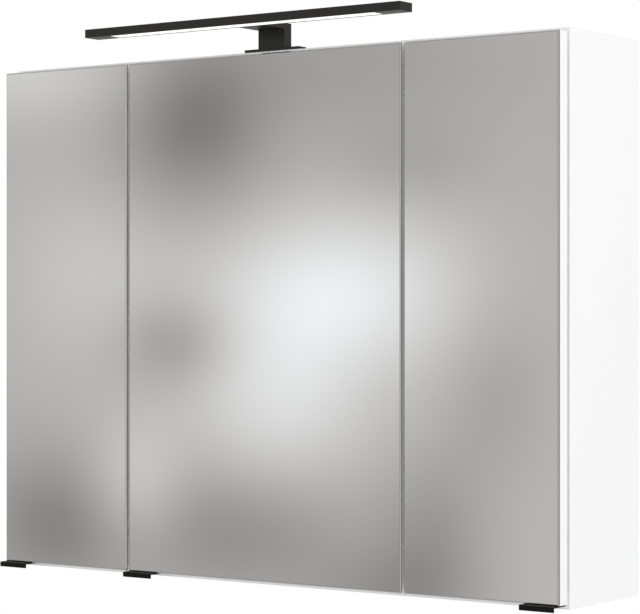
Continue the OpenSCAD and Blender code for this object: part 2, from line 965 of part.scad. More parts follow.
// Cup with its flange and the two ears that hold the pin
module hinge_cup() {
    r_out = cup_d / 2 - 0.1;
    r_in = r_out - cup_wall;
    ear_z = arm_zw / 2 + 0.8;
    difference() {
        union() {
            rod_y([cup_u, cup_v, 0], r_out, door_v - cup_v + flange_t);
            rod_y([cup_u, door_v, 0], r_out + 1.5, flange_t);
            board([cup_screw_u - 6, door_v, -cup_screw_z - 5], [cup_screw_u + 6, door_v + flange_t, cup_screw_z + 5]);
        }
        difference() {
            rod_y([cup_u, cup_v + cup_floor, 0], r_in, door_v - cup_v + flange_t);
            for (dir = [-1, 1])
                translate([pin_u - 2.5, cup_v, dir > 0 ? ear_z : -ear_z - 5])
                    cube([5, pin_v - cup_v + 2.4, 5]);
        }
        translate([pin_u, pin_v, -ear_z - 3])
            cylinder(r = pin_r + 0.02, h = 2 * ear_z + 6);
        for (dir = [-1, 1])
            rod_y([cup_screw_u, door_v - 1, dir * cup_screw_z], wood_r + slip, flange_t + 2);
    }
}

module cups(door, places) {
    color("silver")
        for (z = places)
            at_hinge(door, z)
                hinge_cup();
}

module pins(door, places) {
    half = arm_zw / 2 + 3.6;
    color("gray")
        for (z = places)
            at_hinge(door, z)
                translate([pin_u, pin_v, -half])
                    cylinder(r = pin_r, h = 2 * half);
}

// ---------- doors ----------

// Free edge of a door, and the direction from it into the door
function free_x(door) = door[3] < 0 ? door[0] : door[1];

module handle_screw_places(door) {
    for (s = [10, handle_l - 10])
        translate([free_x(door) - door[3] * s, front_y + mirror_t + 8, door_z0 - handle_t])
            rotate([180, 0, 0])
                children();
}

module door_board(door, places) {
    color("white")
        difference() {
            board([door[0], front_y + mirror_t, door_z0], [door[1], door_back, door_z1]);
            for (z = places)
                at_hinge(door, z) {
                    rod_y([cup_u, cup_v, 0], cup_d / 2, cup_depth + 1);
                    for (dir = [-1, 1])
                        rod_y([cup_screw_u, door_v - 11, dir * cup_screw_z], wood_r + slip, 12);
                }
            handle_screw_places(door)
                translate([0, 0, -14])
                    cylinder(r = machine_r + slip, h = 14);
        }
}

// Mirror glass with a bevel along all four front edges
module mirror_glass(door) {
    b = mirror_bevel;
    x0 = door[0];
    x1 = door[1];
    y0 = front_y;
    y1 = front_y + mirror_t;
    color("lightsteelblue")
        intersection() {
            translate([0, 0, door_z0])
                linear_extrude(door_h)
                    polygon([[x0, y1], [x0, y0 + b], [x0 + b, y0], [x1 - b, y0], [x1, y0 + b], [x1, y1]]);
            translate([x0, 0, 0])
                rotate([90, 0, 90])
                    linear_extrude(x1 - x0)
                        polygon([[y1, door_z0], [y0 + b, door_z0], [y0, door_z0 + b],
                                 [y0, door_z1 - b], [y0 + b, door_z1], [y1, door_z1]]);
        }
}

// Thin angle: a plate under the door with a lip that turns down in front
module handle(door) {
    x0 = door[3] < 0 ? door[0] : door[1] - handle_l;
    lip_y = front_y - handle_reach;
    color("#141413")
        difference() {
            union() {
                board([x0, lip_y, door_z0 - handle_t],
                      [x0 + handle_l, front_y + handle_under, door_z0]);
                board([x0, lip_y, door_z0 - handle_lip], [x0 + handle_l, lip_y + handle_t, door_z0]);
            }
            handle_screw_places(door)
                csk_hole(machine_r, screw_l);
        }
}

module door_screws(door, places) {
    color("silver") {
        handle_screw_places(door)
            csk_screw(machine_r, screw_l);
        for (z = places)
            at_hinge(door, z)
                for (dir = [-1, 1])
                    translate([cup_screw_u, door_v + flange_t, dir * cup_screw_z])
                        rotate([-90, 0, 0])
                            pan_screw(wood_r, 11, 3.4, 1.6);
    }
}

// Soft bumpers on the case edges behind the free corners of the doors
module door_bumpers() {
    bumper_r = 3;
    inset = 60;
    places = [-x_out + board_t / 2, -part_x + door_gap / 2 + bumper_r, x_out - board_t / 2];
    color("gray")
        for (x = places)
            for (z = [z_bot + inset, z_top - inset])
                rod_y([x, door_back + 0.3, z], bumper_r, case_gap - 0.3);
}

side_left();
side_right();
top_panel();
bottom_panel();
partition_left();
partition_right();
back_panel();
case_dowels();
cam_bolts();
cam_locks();
hanger_plate_left();
hanger_plate_right();
hanger_screws();
shelf(0, 0);  // shelf_left_lower
shelf(0, 1);  // shelf_left_upper
shelf(1, 0);  // shelf_middle_lower
shelf(1, 1);  // shelf_middle_upper
shelf(2, 0);  // shelf_right_lower
shelf(2, 1);  // shelf_right_upper
shelf_pins();
lamp_housing();
lamp_diffuser();
led_strip();
lamp_arm();
lamp_post();
lamp_base();
lamp_screws();
lamp_lead();
lamp_driver();
box_lead();
lead_clips();
power_box();
box_cover();
socket_insert();
socket_contacts();
rocker_switch();
mains_gland();
fitting_screws();
hinge_arms();
hinge_plates();
hinge_screws();
door_bumpers();
door_board(left_door, plain_hinges);  // left_door_board
mirror_glass(left_door);  // left_mirror
handle(left_door);  // left_handle
door_screws(left_door, plain_hinges);  // left_door_screws
cups(left_door, plain_hinges);  // left_hinge_cups
pins(left_door, plain_hinges);  // left_hinge_pins
door_board(middle_door, plain_hinges);  // middle_door_board
mirror_glass(middle_door);  // middle_mirror
handle(middle_door);  // middle_handle
door_screws(middle_door, plain_hinges);  // middle_door_screws
cups(middle_door, plain_hinges);  // middle_hinge_cups
pins(middle_door, plain_hinges);  // middle_hinge_pins
door_board(right_door, stepped_hinges);  // right_door_board
mirror_glass(right_door);  // right_mirror
handle(right_door);  // right_handle
door_screws(right_door, stepped_hinges);  // right_door_screws
cups(right_door, stepped_hinges);  // right_hinge_cups
pins(right_door, stepped_hinges);  // right_hinge_pins
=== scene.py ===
# %% [markdown]
# A bathroom mirror cabinet: a white board case with three mirrored doors, glass shelves
# and a black lamp bar on top. The engineering model already holds every board, hinge and
# screw at its real size, so this lesson gives those pieces their finish and remakes only
# the glass, whose cut edges need more care. Everything is in metres and in the same place
# as in the engineering model: X runs across the front, the doors face -Y and Z is up.

# %% Load the engineering model
import json
import math

import bmesh
import bpy
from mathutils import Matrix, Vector


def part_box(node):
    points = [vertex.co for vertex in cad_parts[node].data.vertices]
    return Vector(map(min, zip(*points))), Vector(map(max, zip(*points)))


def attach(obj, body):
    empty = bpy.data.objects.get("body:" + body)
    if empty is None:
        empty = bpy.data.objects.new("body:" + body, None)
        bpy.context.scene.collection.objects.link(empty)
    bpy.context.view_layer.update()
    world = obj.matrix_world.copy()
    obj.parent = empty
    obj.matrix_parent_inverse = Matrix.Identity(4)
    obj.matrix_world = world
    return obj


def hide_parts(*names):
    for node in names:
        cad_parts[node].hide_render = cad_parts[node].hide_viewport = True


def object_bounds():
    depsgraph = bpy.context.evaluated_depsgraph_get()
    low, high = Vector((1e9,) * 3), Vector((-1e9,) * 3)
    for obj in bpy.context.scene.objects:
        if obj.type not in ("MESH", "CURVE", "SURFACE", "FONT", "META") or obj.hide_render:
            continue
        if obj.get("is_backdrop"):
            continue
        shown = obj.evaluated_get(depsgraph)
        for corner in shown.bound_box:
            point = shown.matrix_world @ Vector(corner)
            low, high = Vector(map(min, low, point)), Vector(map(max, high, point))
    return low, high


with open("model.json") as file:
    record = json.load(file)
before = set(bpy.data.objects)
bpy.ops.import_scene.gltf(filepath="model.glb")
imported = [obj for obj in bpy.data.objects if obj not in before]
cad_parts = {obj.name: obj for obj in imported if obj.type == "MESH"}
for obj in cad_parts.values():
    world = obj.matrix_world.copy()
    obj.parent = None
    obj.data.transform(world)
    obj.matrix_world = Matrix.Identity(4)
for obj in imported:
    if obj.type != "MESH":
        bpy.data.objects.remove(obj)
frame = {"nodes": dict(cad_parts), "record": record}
cad_low, cad_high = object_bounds()
print("size in mm:", [round(1000 * side) for side in cad_high - cad_low])

# %% [markdown]
# The camera stands level with the middle of the case and well to the right, so that the
# three mirrors, the right side and the underside of the lamp all show. A long lens keeps
# the sides nearly parallel, as in a catalogue view. The camera looks level, which keeps
# upright edges upright, and a small upward shift centres the cabinet. Two open doors can
# mirror each other, so reflections are followed for more bounces than usual.

# %% Camera
scene = bpy.context.scene
MM = 0.001
CAMERA_PLACE = (1.6142, -2.3615, -0.2754)
CAMERA_TURN = math.radians(35.05)
LEVEL = math.radians(90)
MIRROR_BOUNCES = 12
ALL_BOUNCES = 16
camera_data = bpy.data.cameras.new("catalogue_camera")
camera_data.lens = 130.03
camera_data.sensor_width = 36.0
camera_data.shift_y = 0.00966
camera = bpy.data.objects.new("catalogue_camera", camera_data)
camera.location = CAMERA_PLACE
camera.rotation_euler = (LEVEL, 0, CAMERA_TURN)
scene.collection.objects.link(camera)
scene.camera = camera
scene.view_settings.view_transform = "Standard"
scene.cycles.glossy_bounces = MIRROR_BOUNCES
scene.cycles.max_bounces = ALL_BOUNCES
print("camera to cabinet, in metres:", round(camera.location.length, 2))

# %% [markdown]
# Materials come as small node trees. Four helpers keep them short: one adds a node and
# sets its values, one makes a group with named sockets, one places such a group, and one
# starts a material with its Principled shader. Values that are the same all over a
# surface are set straight on the shader; only what changes over it arrives by a link.

# %% Helpers for node trees
def add(tree, kind, inputs=None, **settings):
    node = tree.nodes.new(kind)
    for name, value in settings.items():
        setattr(node, name, value)
    for name, value in (inputs or {}).items():
        if isinstance(value, bpy.types.NodeSocket):
            tree.links.new(value, node.inputs[name])
        else:
            node.inputs[name].default_value = value
    return node


def new_group(name, inputs, outputs):
    tree = bpy.data.node_groups.new(name, "ShaderNodeTree")
    for socket_name, kind, value in inputs:
        socket = tree.interface.new_socket(socket_name, in_out="INPUT", socket_type=kind)
        socket.default_value = value
    for socket_name, kind in outputs:
        tree.interface.new_socket(socket_name, in_out="OUTPUT", socket_type=kind)
    return tree, tree.nodes.new("NodeGroupInput"), tree.nodes.new("NodeGroupOutput")


def use_group(tree, group, inputs):
    return add(tree, "ShaderNodeGroup", inputs, node_tree=group)


def new_material(name, **values):
    material = bpy.data.materials.new(name)
    material.use_nodes = True
    tree = material.node_tree
    shader = tree.nodes["Principled BSDF"]
    for socket_name, value in values.items():
        socket = shader.inputs[socket_name.replace("_", " ")]
        if isinstance(socket.default_value, float):
            socket.default_value = value
        else:
            socket.default_value = (*value, 1.0)
    return material, tree, shader


FLOAT, COLOUR, VECTOR = "NodeSocketFloat", "NodeSocketColor", "NodeSocketVector"
# The Mix node keeps its colour sockets at these places
MIX_FACTOR, MIX_A, MIX_B = 0, 6, 7
MIX_COLOUR = 2
print("helpers ready for", bpy.app.version_string)

# %% [markdown]
# Four effects come back in many finishes, so each is one node group. The tone group lets a colour
# drift a little, as no board or casting is one even colour. The grain group gives a fine height
# for the bump of powder coat, foil or moulded plastic. The gloss group varies roughness with a
# broad, faint smear, as wiping leaves it. The edge group finds corners and gives them another
# colour: painted highlight where that colour is lighter, painted shade where it is darker. It
# compares the face's direction with a rounded one and breaks the result up with noise.

# %% Shared effects
NOISE_MEAN = 0.5
WIPE_STRETCH = (1.0, 1.0, 0.35)
EDGE_LIGHT_PATCH_SCALE = 90.0


def make_tone_group():
    tree, given, out = new_group(
        "tone_drift",
        [("Colour", COLOUR, (0.8, 0.8, 0.8, 1)), ("Scale", FLOAT, 8.0), ("Amount", FLOAT, 0.05)],
        [("Colour", COLOUR)],
    )
    place = add(tree, "ShaderNodeTexCoord")
    cloud = add(tree, "ShaderNodeTexNoise", {"Vector": place.outputs["Object"], "Detail": 3.0,
                                             "Scale": given.outputs["Scale"]})
    centred = add(tree, "ShaderNodeMath", {0: cloud.outputs["Fac"], 1: NOISE_MEAN},
                  operation="SUBTRACT")
    spread = add(tree, "ShaderNodeMath", {0: centred.outputs[0], 1: given.outputs["Amount"],
                                          2: 1.0}, operation="MULTIPLY_ADD")
    tinted = add(tree, "ShaderNodeVectorMath", {0: given.outputs["Colour"],
                                                "Scale": spread.outputs[0]}, operation="SCALE")
    tree.links.new(tinted.outputs[0], out.inputs["Colour"])
    return tree


def make_grain_group():
    tree, given, out = new_group(
        "fine_grain",
        [("Scale", FLOAT, 2000.0), ("Stretch", VECTOR, (1, 1, 1))],
        [("Height", FLOAT)],
    )
    place = add(tree, "ShaderNodeTexCoord")
    stretched = add(tree, "ShaderNodeVectorMath", {0: place.outputs["Object"],
                                                   1: given.outputs["Stretch"]},
                    operation="MULTIPLY")
    fine = add(tree, "ShaderNodeTexNoise", {"Vector": stretched.outputs[0], "Detail": 2.0,
                                            "Scale": given.outputs["Scale"]})
    tree.links.new(fine.outputs["Fac"], out.inputs["Height"])
    return tree


def make_gloss_group():
    tree, given, out = new_group(
        "gloss_drift",
        [("Roughness", FLOAT, 0.4), ("Scale", FLOAT, 12.0), ("Amount", FLOAT, 0.1)],
        [("Roughness", FLOAT)],
    )
    place = add(tree, "ShaderNodeTexCoord")
    smear = add(tree, "ShaderNodeVectorMath", {0: place.outputs["Object"], 1: WIPE_STRETCH},
                operation="MULTIPLY")
    cloud = add(tree, "ShaderNodeTexNoise", {"Vector": smear.outputs[0], "Detail": 5.0,
                                             "Scale": given.outputs["Scale"]})
    centred = add(tree, "ShaderNodeMath", {0: cloud.outputs["Fac"], 1: NOISE_MEAN},
                  operation="SUBTRACT")
    value = add(tree, "ShaderNodeMath", {0: centred.outputs[0], 1: given.outputs["Amount"],
                                         2: given.outputs["Roughness"]}, operation="MULTIPLY_ADD")
    tree.links.new(value.outputs[0], out.inputs["Roughness"])
    return tree


# Corner mask that the finishes use for painted highlight and painted shade on their edges
def make_edge_group():
    tree, given, out = new_group(
        "edge_highlight_and_shade",
        [("Width", FLOAT, 0.0005), ("Strength", FLOAT, 1.0)],
        [("Mask", FLOAT)],
    )
    round_normal = add(tree, "ShaderNodeBevel", {"Radius": given.outputs["Width"]}, samples=4)
    flat = add(tree, "ShaderNodeNewGeometry")
    same = add(tree, "ShaderNodeVectorMath", {0: round_normal.outputs[0],
                                              1: flat.outputs["True Normal"]},
               operation="DOT_PRODUCT")
    turned = add(tree, "ShaderNodeMath", {0: 1.0, 1: same.outputs["Value"]}, operation="SUBTRACT")
    place = add(tree, "ShaderNodeTexCoord")
    patchy = add(tree, "ShaderNodeTexNoise", {"Vector": place.outputs["Object"],
                                              "Scale": EDGE_LIGHT_PATCH_SCALE, "Detail": 4.0})
    broken = add(tree, "ShaderNodeMath", {0: turned.outputs[0], 1: patchy.outputs["Fac"]},
                 operation="MULTIPLY")
    mask = add(tree, "ShaderNodeMath", {0: broken.outputs[0], 1: given.outputs["Strength"]},
               operation="MULTIPLY", use_clamp=True)
    tree.links.new(mask.outputs[0], out.inputs["Mask"])
    return tree


tone_drift = make_tone_group()
fine_grain = make_grain_group()
gloss_drift = make_gloss_group()
edge_highlight_and_shade = make_edge_group()
print("groups:", [group.name for group in bpy.data.node_groups])

# %% [markdown]
# Most finishes here are the same recipe with other numbers: a colour that drifts, a gloss that
# drifts, a grain in the bump, and edges painted lighter or darker, which is painted highlight or
# painted shade. One function lays the recipe and each finish calls it with its own numbers.
# Anything more, such as metal or a weaker shine, is passed on to the shader by its socket's name.

# %% The common recipe
def coated(name, colour, roughness, tone=0.03, tone_scale=8.0, smear=0.08, smear_scale=12.0,
           grain=2000.0, stretch=(1, 1, 1), relief=0.00003, edge=None, edge_width=0.0006,
           edge_strength=2.0, **shader_values):
    """Noise scales are per metre; relief and edge_width are in metres."""
    material, tree, shader = new_material(name, **shader_values)
    body = use_group(tree, tone_drift, {"Colour": (*colour, 1.0), "Scale": tone_scale,
                                        "Amount": tone})
    surface = body.outputs["Colour"]
    # Corners take the edge colour: painted highlight where it is lighter, painted shade where it
    # is darker
    if edge is not None:
        edge_light = use_group(tree, edge_highlight_and_shade, {"Width": edge_width, "Strength": edge_strength})
        mixed = add(tree, "ShaderNodeMix", {MIX_FACTOR: edge_light.outputs["Mask"], MIX_A: surface,
                                            MIX_B: (*edge, 1.0)}, data_type="RGBA")
        surface = mixed.outputs[MIX_COLOUR]
    tree.links.new(surface, shader.inputs["Base Color"])
    gloss = use_group(tree, gloss_drift, {"Roughness": roughness, "Scale": smear_scale,
                                          "Amount": smear})
    tree.links.new(gloss.outputs["Roughness"], shader.inputs["Roughness"])
    height = use_group(tree, fine_grain, {"Scale": grain, "Stretch": stretch})
    bump = add(tree, "ShaderNodeBump", {"Height": height.outputs["Height"], "Distance": relief})
    tree.links.new(bump.outputs["Normal"], shader.inputs["Normal"])
    return material


print("recipe effects:", tone_drift.name, gloss_drift.name, fine_grain.name, edge_highlight_and_shade.name)

# %% [markdown]
# The boards are chipboard with a white melamine film: hard, slightly soft in its gloss, with a
# pearl so fine that it only breaks up the reflection. The cut edges carry a glued band of the same
# white. A grey line is painted along each corner: partly the joint where film and band meet,
# partly painted shade for the dark outline of the edges and the gaps between the doors. The back
# panel is hardboard with a thinner, duller film.

# %% Boards
# Grey edge colour: partly the film and band joint, partly painted shade along the corners
white_board = coated("white_melamine", (0.915, 0.916, 0.925), 0.36, tone=0.012, tone_scale=5.0,
                     smear=0.10, grain=1400.0, relief=0.00002, edge=(0.44, 0.44, 0.435),
                     edge_width=0.0006, edge_strength=3.5)
back_board = coated("back_film", (0.90, 0.90, 0.89), 0.55, tone=0.02, smear=0.06, grain=700.0,
                    relief=0.00004)
print("boards:", white_board.name, back_board.name)

# %% [markdown]
# The dowels are turned beech, whose grain shows as fine streaks. The noise is squeezed
# across X and left long along it, which is how the dowels of the case sides lie. The
# upright dowels of the partitions share it, as no dowel shows once the case is together.

# %% Beech dowels
ACROSS_GRAIN = 900.0
ALONG_GRAIN = 40.0
DARK_BEECH = (0.42, 0.25, 0.12, 1)
LIGHT_BEECH = (0.66, 0.46, 0.27, 1)


def beech():
    material, tree, shader = new_material("beech_dowel", Roughness=0.62)
    place = add(tree, "ShaderNodeTexCoord")
    along = add(tree, "ShaderNodeVectorMath", {0: place.outputs["Object"],
                                               1: (ALONG_GRAIN, ACROSS_GRAIN, ACROSS_GRAIN)},
                operation="MULTIPLY")
    streaks = add(tree, "ShaderNodeTexNoise", {"Vector": along.outputs[0], "Scale": 1.0,
                                               "Detail": 4.0})
    shades = add(tree, "ShaderNodeValToRGB", {"Fac": streaks.outputs["Fac"]})
    dark, light = shades.color_ramp.elements
    dark.position, dark.color = 0.3, DARK_BEECH
    light.position, light.color = 0.7, LIGHT_BEECH
    tree.links.new(shades.outputs["Color"], shader.inputs["Base Color"])
    bump = add(tree, "ShaderNodeBump", {"Height": streaks.outputs["Fac"], "Distance": 0.0001})
    tree.links.new(bump.outputs["Normal"], shader.inputs["Normal"])
    return material


dowel_wood = beech()
print("wood:", dowel_wood.name)

# %% [markdown]
# Screws, cams and hanger plates are zinc plated: a bluish grey metal with a faint cloud
# where the plating bath left it. Hinge cups, arms and shelf pins are nickel plated and
# drawn from strip, so their grain is squeezed into fine lines and they shine more.

# %% Plated metal
# Lighter edge colour on the zinc: painted highlight on the corners
zinc = coated("zinc_plate", (0.60, 0.61, 0.63), 0.34, tone=0.18, tone_scale=120.0, smear=0.2,
              smear_scale=140.0, grain=2600.0, relief=0.00003, edge=(0.78, 0.79, 0.80),
              edge_width=0.0003, Metallic=1.0)
# Lighter edge colour on the nickel: painted highlight on the corners
nickel = coated("nickel_plate", (0.72, 0.71, 0.69), 0.22, tone=0.08, tone_scale=60.0, smear=0.12,
                smear_scale=90.0, grain=500.0, stretch=(1.0, 1.0, 12.0), relief=0.00002,
                edge=(0.85, 0.84, 0.82), edge_width=0.0003, Metallic=1.0)
brass = coated("contact_brass", (0.78, 0.58, 0.27), 0.28, tone=0.14, tone_scale=150.0, smear=0.15,
               smear_scale=150.0, grain=2500.0, relief=0.00002, Metallic=1.0)
print("metals:", zinc.name, nickel.name, brass.name)

# %% [markdown]
# The lamp is folded and cast metal under a satin black powder coat. Powder melts into a skin of
# tiny rolling bumps, so its highlight is broad and slightly broken. Its corners are painted
# lighter, a painted highlight where rounded corners catch more light. The handles are the same
# coat in a deeper black, with the same painted highlight on their corners.

# %% Black powder coat
# Lighter edge colour: painted highlight on the corners of the lamp
black_lamp = coated("satin_black_lamp", (0.0098, 0.0092, 0.0084), 0.42, tone=0.25, tone_scale=60.0,
                    smear=0.14, smear_scale=35.0, grain=1500.0, relief=0.00012,
                    edge=(0.05, 0.049, 0.047), edge_width=0.0006, edge_strength=2.5,
                    Specular_IOR_Level=0.5)
# Lighter edge colour: painted highlight on the corners of the handles
black_handle = coated("satin_black_handle", (0.0030, 0.0029, 0.0027), 0.46, tone=0.25,
                      tone_scale=90.0, smear=0.14, smear_scale=60.0, grain=1800.0,
                      relief=0.0001, edge=(0.016, 0.0155, 0.015), edge_width=0.0005,
                      edge_strength=2.0, Specular_IOR_Level=0.2)
print("coats:", black_lamp.name, black_handle.name)

# %% [markdown]
# The plastics are moulded: white housings with a fine spark texture, a grey gland, dark
# soft leads and clear-grey bumpers that let a little light in. The strip behind the
# diffuser is a circuit board under a pale solder mask.

# %% Plastics and rubber
# Lighter edge colour on the white housings: painted highlight on the corners
white_plastic = coated("white_moulding", (0.88, 0.88, 0.87), 0.38, tone=0.015, smear=0.08,
                       grain=2600.0, relief=0.00004, edge=(0.93, 0.93, 0.92), edge_width=0.0004,
                       edge_strength=0.8)
# Lighter edge colour on the grey gland: painted highlight on the corners
grey_plastic = coated("grey_gland", (0.13, 0.135, 0.14), 0.5, tone=0.1, tone_scale=60.0,
                      grain=2000.0, relief=0.00006, edge=(0.2, 0.205, 0.21))
dark_lead = coated("lead_sheath", (0.02, 0.02, 0.02), 0.55, tone=0.2, tone_scale=80.0,
                   grain=1800.0, relief=0.00005)
bumper = coated("soft_bumper", (0.62, 0.62, 0.60), 0.42, tone=0.05, tone_scale=200.0,
                grain=2500.0, relief=0.00004, Subsurface_Weight=0.3, Subsurface_Scale=0.002)
circuit = coated("circuit_mask", (0.82, 0.82, 0.77), 0.42, tone=0.06, tone_scale=200.0,
                 grain=3000.0, relief=0.00003)
print("plastics:", white_plastic.name, grey_plastic.name, bumper.name)

# %% [markdown]
# The diffuser is opal acrylic with the lamp alight behind it. Light that scatters inside
# opal comes out nearly even, so the face itself glows, with a faint cloud in the glow.
# It gets emission on top of its own colour, which costs less than a lamp behind real
# scattering and shows the same from every side.

# %% Opal diffuser
OPAL_COVER = (0.95, 0.95, 0.94, 1)
OPAL_GLOW = (0.72, 0.72, 0.70, 1)


def opal():
    material, tree, shader = new_material("opal_diffuser", Emission_Strength=1.0, IOR=1.49)
    cover = use_group(tree, tone_drift, {"Colour": OPAL_COVER, "Scale": 30.0, "Amount": 0.03})
    tree.links.new(cover.outputs["Colour"], shader.inputs["Base Color"])
    glow = use_group(tree, tone_drift, {"Colour": OPAL_GLOW, "Scale": 45.0, "Amount": 0.10})
    tree.links.new(glow.outputs["Colour"], shader.inputs["Emission Color"])
    gloss = use_group(tree, gloss_drift, {"Roughness": 0.42, "Scale": 60.0, "Amount": 0.1})
    tree.links.new(gloss.outputs["Roughness"], shader.inputs["Roughness"])
    fine = use_group(tree, fine_grain, {"Scale": 2400.0})
    bump = add(tree, "ShaderNodeBump", {"Height": fine.outputs["Height"], "Distance": 0.00003})
    tree.links.new(bump.outputs["Normal"], shader.inputs["Normal"])
    return material


diffuser = opal()
print("diffuser:", diffuser.name)

# %% [markdown]
# A mirror is float glass with silver behind it. Seen from the front it is a metal face
# with a faint grey from the glass, so a metallic shader with a low roughness does it.
# Wiping leaves long smears that only show as a change of gloss. The bevel is ground and polished:
# it mirrors too. Along the rim of the flat face runs a slightly darker strip of silver: painted
# shade for the dark line along the mirror edges. The cut edge and the painted back are their own
# finishes.

# %% Mirror glass
def silvered(name, colour, roughness, smear):
    material, tree, shader = new_material(name, Metallic=1.0)
    tint = use_group(tree, tone_drift, {"Colour": (*colour, 1), "Scale": 3.0, "Amount": 0.02})
    tree.links.new(tint.outputs["Colour"], shader.inputs["Base Color"])
    gloss = use_group(tree, gloss_drift, {"Roughness": roughness, "Scale": 9.0, "Amount": smear})
    tree.links.new(gloss.outputs["Roughness"], shader.inputs["Roughness"])
    return material


silver_front = silvered("silvered_front", (0.90, 0.90, 0.895), 0.045, 0.05)
silver_bevel = silvered("silvered_bevel", (0.80, 0.81, 0.79), 0.10, 0.05)
# Darker silver for the strip round the mirror face: painted shade along the edges
painted_shade_silver = silvered("painted_shade_silver", (0.64, 0.64, 0.66), 0.12, 0.05)
glass_rim = coated("polished_rim", (0.17, 0.195, 0.18), 0.16, tone=0.2, tone_scale=90.0,
                   smear=0.1, grain=900.0, relief=0.00002)
mirror_back = coated("mirror_back_paint", (0.30, 0.31, 0.32), 0.55, tone=0.06, grain=900.0,
                     relief=0.00003)
print("mirror finishes:", silver_front.name, silver_bevel.name, glass_rim.name)

# %% [markdown]
# The shelves are clear float glass. Looking through the faces there is almost no tint;
# looking along the glass, its iron makes the edge green. The faces and the ground edge
# are two materials, and both keep plain transmission so that any renderer reads them.

# %% Shelf glass
def clear_glass(name, colour, roughness):
    material, tree, shader = new_material(name, Base_Color=colour, Transmission_Weight=1.0,
                                          IOR=1.52, Metallic=0.0)
    gloss = use_group(tree, gloss_drift, {"Roughness": roughness, "Scale": 14.0, "Amount": 0.02})
    tree.links.new(gloss.outputs["Roughness"], shader.inputs["Roughness"])
    return material


shelf_face = clear_glass("shelf_face", (0.955, 0.985, 0.975), 0.012)
shelf_edge = clear_glass("shelf_edge", (0.52, 0.80, 0.70), 0.10)
print("glass:", shelf_face.name, shelf_edge.name)

# %% [markdown]
# Glass sheets are built as a stack of outlines from the back to the front, joined by
# strips of faces. Each ring is a rectangle, drawn in by the depth of the bevel, so the
# ground bevel and the fine arris at the back are real faces that catch the light. The
# same builder makes mirrors, stacked along Y, and shelves, stacked along Z.

# %% Builder for glass sheets
Y_AXIS, Z_AXIS = 1, 2
# The last outline always closes with the first material of the sheet
FACE = 0


def ring(bm, low, high, axis, level, inset):
    """Four corners of a rectangle across the given axis, at a level along it."""
    a, b = [i for i in range(3) if i != axis]
    corners = []
    for far_a, far_b in ((0, 0), (1, 0), (1, 1), (0, 1)):
        point = [0.0, 0.0, 0.0]
        point[axis] = level
        point[a] = high[a] - inset if far_a else low[a] + inset
        point[b] = high[b] - inset if far_b else low[b] + inset
        corners.append(bm.verts.new(point))
    return corners


def sheet_piece(name, low, high, axis, steps, materials, body, node):
    """steps lists level, inset and the material number of the strip that ends there; the
    first step's number goes to the face that closes the first outline."""
    bm = bmesh.new()
    rings = [ring(bm, low, high, axis, level, inset) for level, inset, _ in steps]
    first, last = bm.faces.new(rings[0]), bm.faces.new(rings[-1])
    first.material_index = steps[0][2]
    for before, after, step in zip(rings, rings[1:], steps[1:]):
        for i in range(4):
            j = (i + 1) % 4
            strip = bm.faces.new((before[i], before[j], after[j], after[i]))
            strip.material_index = step[2]
    last.material_index = FACE
    bmesh.ops.recalc_face_normals(bm, faces=bm.faces[:])
    mesh = bpy.data.meshes.new(name)
    bm.to_mesh(mesh)
    bm.free()
    for material in materials:
        mesh.materials.append(material)
    piece = bpy.data.objects.new(name, mesh)
    scene.collection.objects.link(piece)
    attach(piece, body)
    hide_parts(node)


print("glass sheet builder ready; its faces use material number", FACE)

# %% [markdown]
# Each door carries one mirror over its whole face. The ground bevel is 1 mm wide; behind it the
# edge stands straight to the board, with a hair of an arris at the back. In front, a strip of
# darker silver runs all round, just inside the bevel: painted shade along the mirror edges.

# %% Mirrors
BEVEL = 1.0 * MM
ARRIS = 0.15 * MM
MARGIN = 0.8 * MM
SIDES = ("left", "middle", "right")
MIRROR_MATERIALS = (silver_front, silver_bevel, glass_rim, mirror_back, painted_shade_silver)
# The last strip of each mirror is the darker silver, painted shade along its edges
GROUND_BEVEL, CUT_EDGE, PAINTED_BACK, PAINTED_SHADE_STRIP = 1, 2, 3, 4
for side in SIDES:
    low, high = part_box(f"{side}_mirror")
    steps = [(high.y, ARRIS, PAINTED_BACK), (high.y - ARRIS, 0.0, CUT_EDGE),
             (low.y + BEVEL, 0.0, CUT_EDGE), (low.y, BEVEL, GROUND_BEVEL),
             (low.y, BEVEL + MARGIN, PAINTED_SHADE_STRIP)]
    sheet_piece(f"{side}_mirror_glass", low, high, Y_AXIS, steps, MIRROR_MATERIALS,
                f"{side}_door", f"{side}_mirror")
print("mirrors:", len(SIDES), "bevel in mm:", BEVEL / MM)

# %% [markdown]
# Two loose shelves lie in each bay. Their edges are ground flat and eased top and bottom,
# so each sheet is three bands of edge glass between two clear faces. The broad arris
# gathers the green of the glass and lets the eye find the sheet.

# %% Glass shelves
SHELF_ARRIS = 0.6 * MM
SHELF_LEVELS = ("lower", "upper")
GROUND_EDGE = 1
for side in SIDES:
    for level in SHELF_LEVELS:
        node = f"shelf_{side}_{level}"
        low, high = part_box(node)
        steps = [(low.z, SHELF_ARRIS, FACE), (low.z + SHELF_ARRIS, 0.0, GROUND_EDGE),
                 (high.z - SHELF_ARRIS, 0.0, GROUND_EDGE), (high.z, SHELF_ARRIS, GROUND_EDGE)]
        sheet_piece(f"{node}_glass", low, high, Z_AXIS, steps, (shelf_face, shelf_edge),
                    "case", node)
print("shelves:", len(SIDES) * len(SHELF_LEVELS))

# %% [markdown]
# All other pieces keep their engineering mesh. Real edges are never sharp, so a weld and
# a narrow bevel round every corner: wider on boards and folded metal, a hair on screws.
# The bevel follows the angle between faces, so flat faces and round walls stay as they
# are. Modifiers leave the mesh itself untouched.

